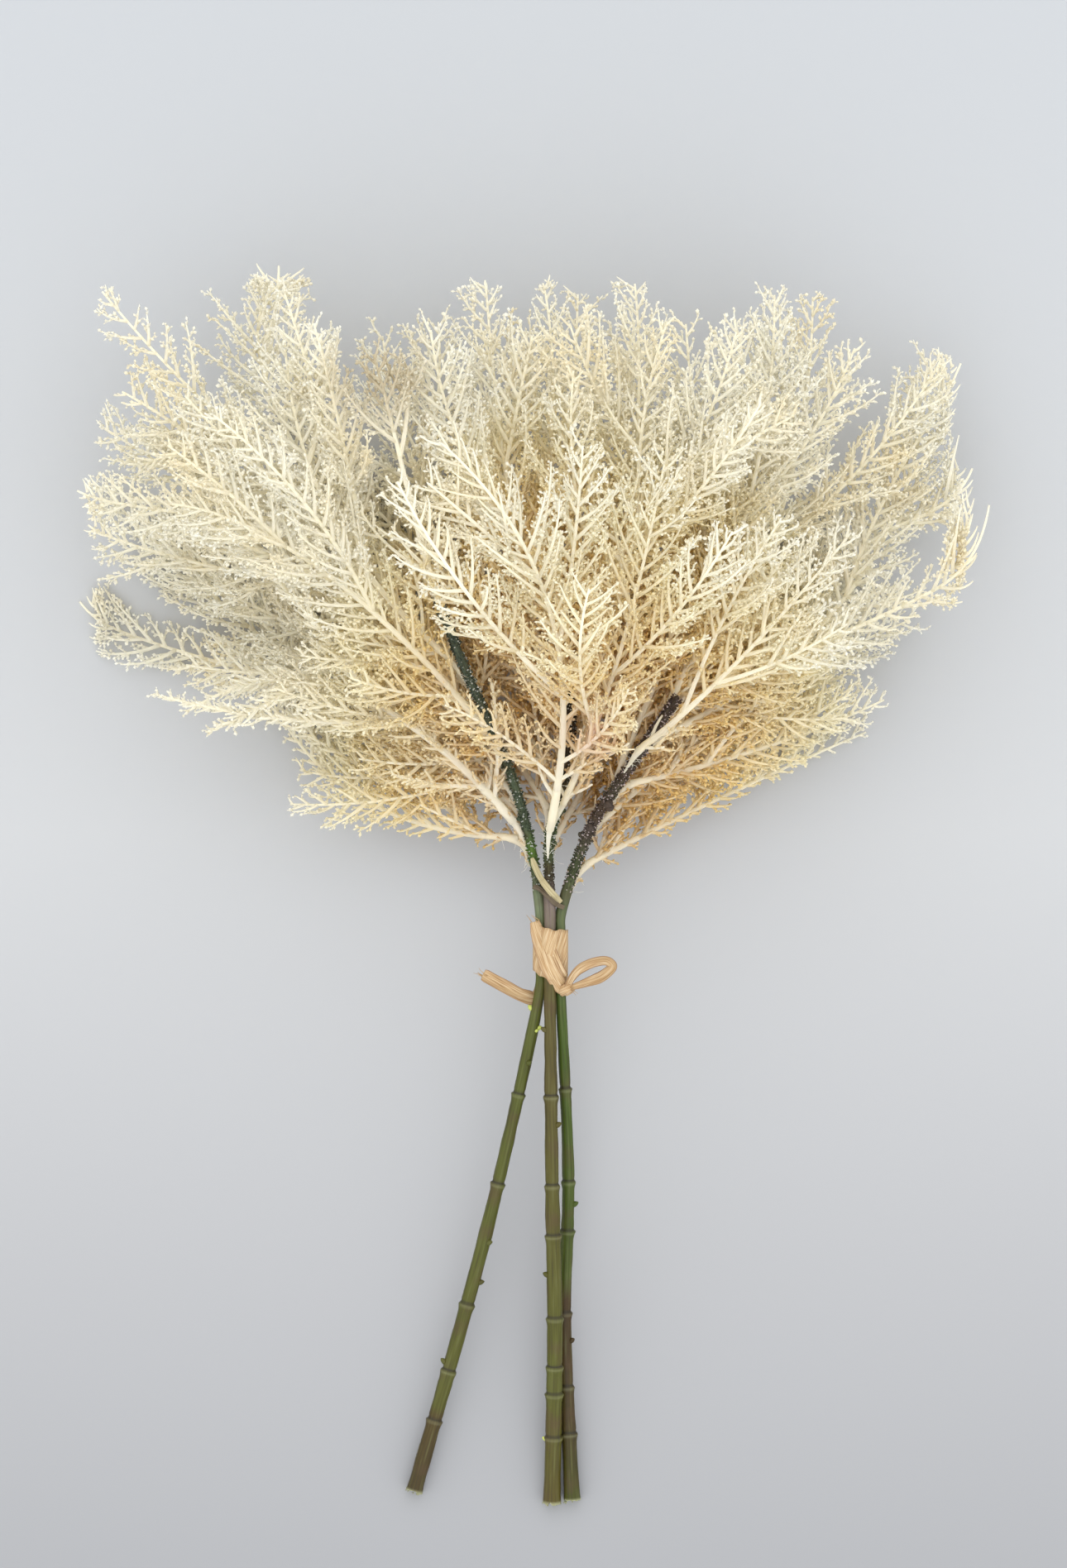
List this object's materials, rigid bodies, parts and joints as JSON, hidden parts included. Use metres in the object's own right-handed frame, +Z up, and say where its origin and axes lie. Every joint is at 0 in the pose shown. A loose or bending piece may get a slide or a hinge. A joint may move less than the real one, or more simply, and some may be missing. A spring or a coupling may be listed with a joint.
{
  "type": "bundle of artificial pampas grass",
  "caption": "Bundle of long-stemmed artificial pampas with jointed green stalks and spreading cream fern-like fronds, tied with raffia and lying flat.",
  "frame": {"origin": "middle of the bundle's box, at the surface that it lies on", "axes": "+Y from the cut ends to the frond tips, +Z up from the surface, +X to the right seen from above"},
  "size_m": [0.2782, 0.3954, 0.1061],
  "materials": {
    "stem": "satin moulded plastic, flocked above the tie",
    "frond": "matt flocked",
    "raffia": "matt fibrous strip"
  },
  "bodies": {
    "root": {"stem_left": "stem", "stem_middle": "stem", "stem_right": "stem", "frond_left_1": "frond", "frond_left_2": "frond", "frond_left_3": "frond", "frond_left_4": "frond", "frond_left_5": "frond", "frond_left_6": "frond", "frond_left_7": "frond", "frond_left_8": "frond", "frond_left_9": "frond", "frond_left_10": "frond", "frond_middle_1": "frond", "frond_middle_2": "frond", "frond_middle_3": "frond", "frond_middle_4": "frond", "frond_middle_5": "frond", "frond_middle_6": "frond", "frond_middle_7": "frond", "frond_middle_8": "frond", "frond_middle_9": "frond", "frond_right_1": "frond", "frond_right_2": "frond", "frond_right_3": "frond", "frond_right_4": "frond", "frond_right_5": "frond", "frond_right_6": "frond", "frond_right_7": "frond", "frond_right_8": "frond", "frond_right_9": "frond", "raffia_tie": "raffia", "raffia_wrap": "raffia"}
  },
  "joints": []
}
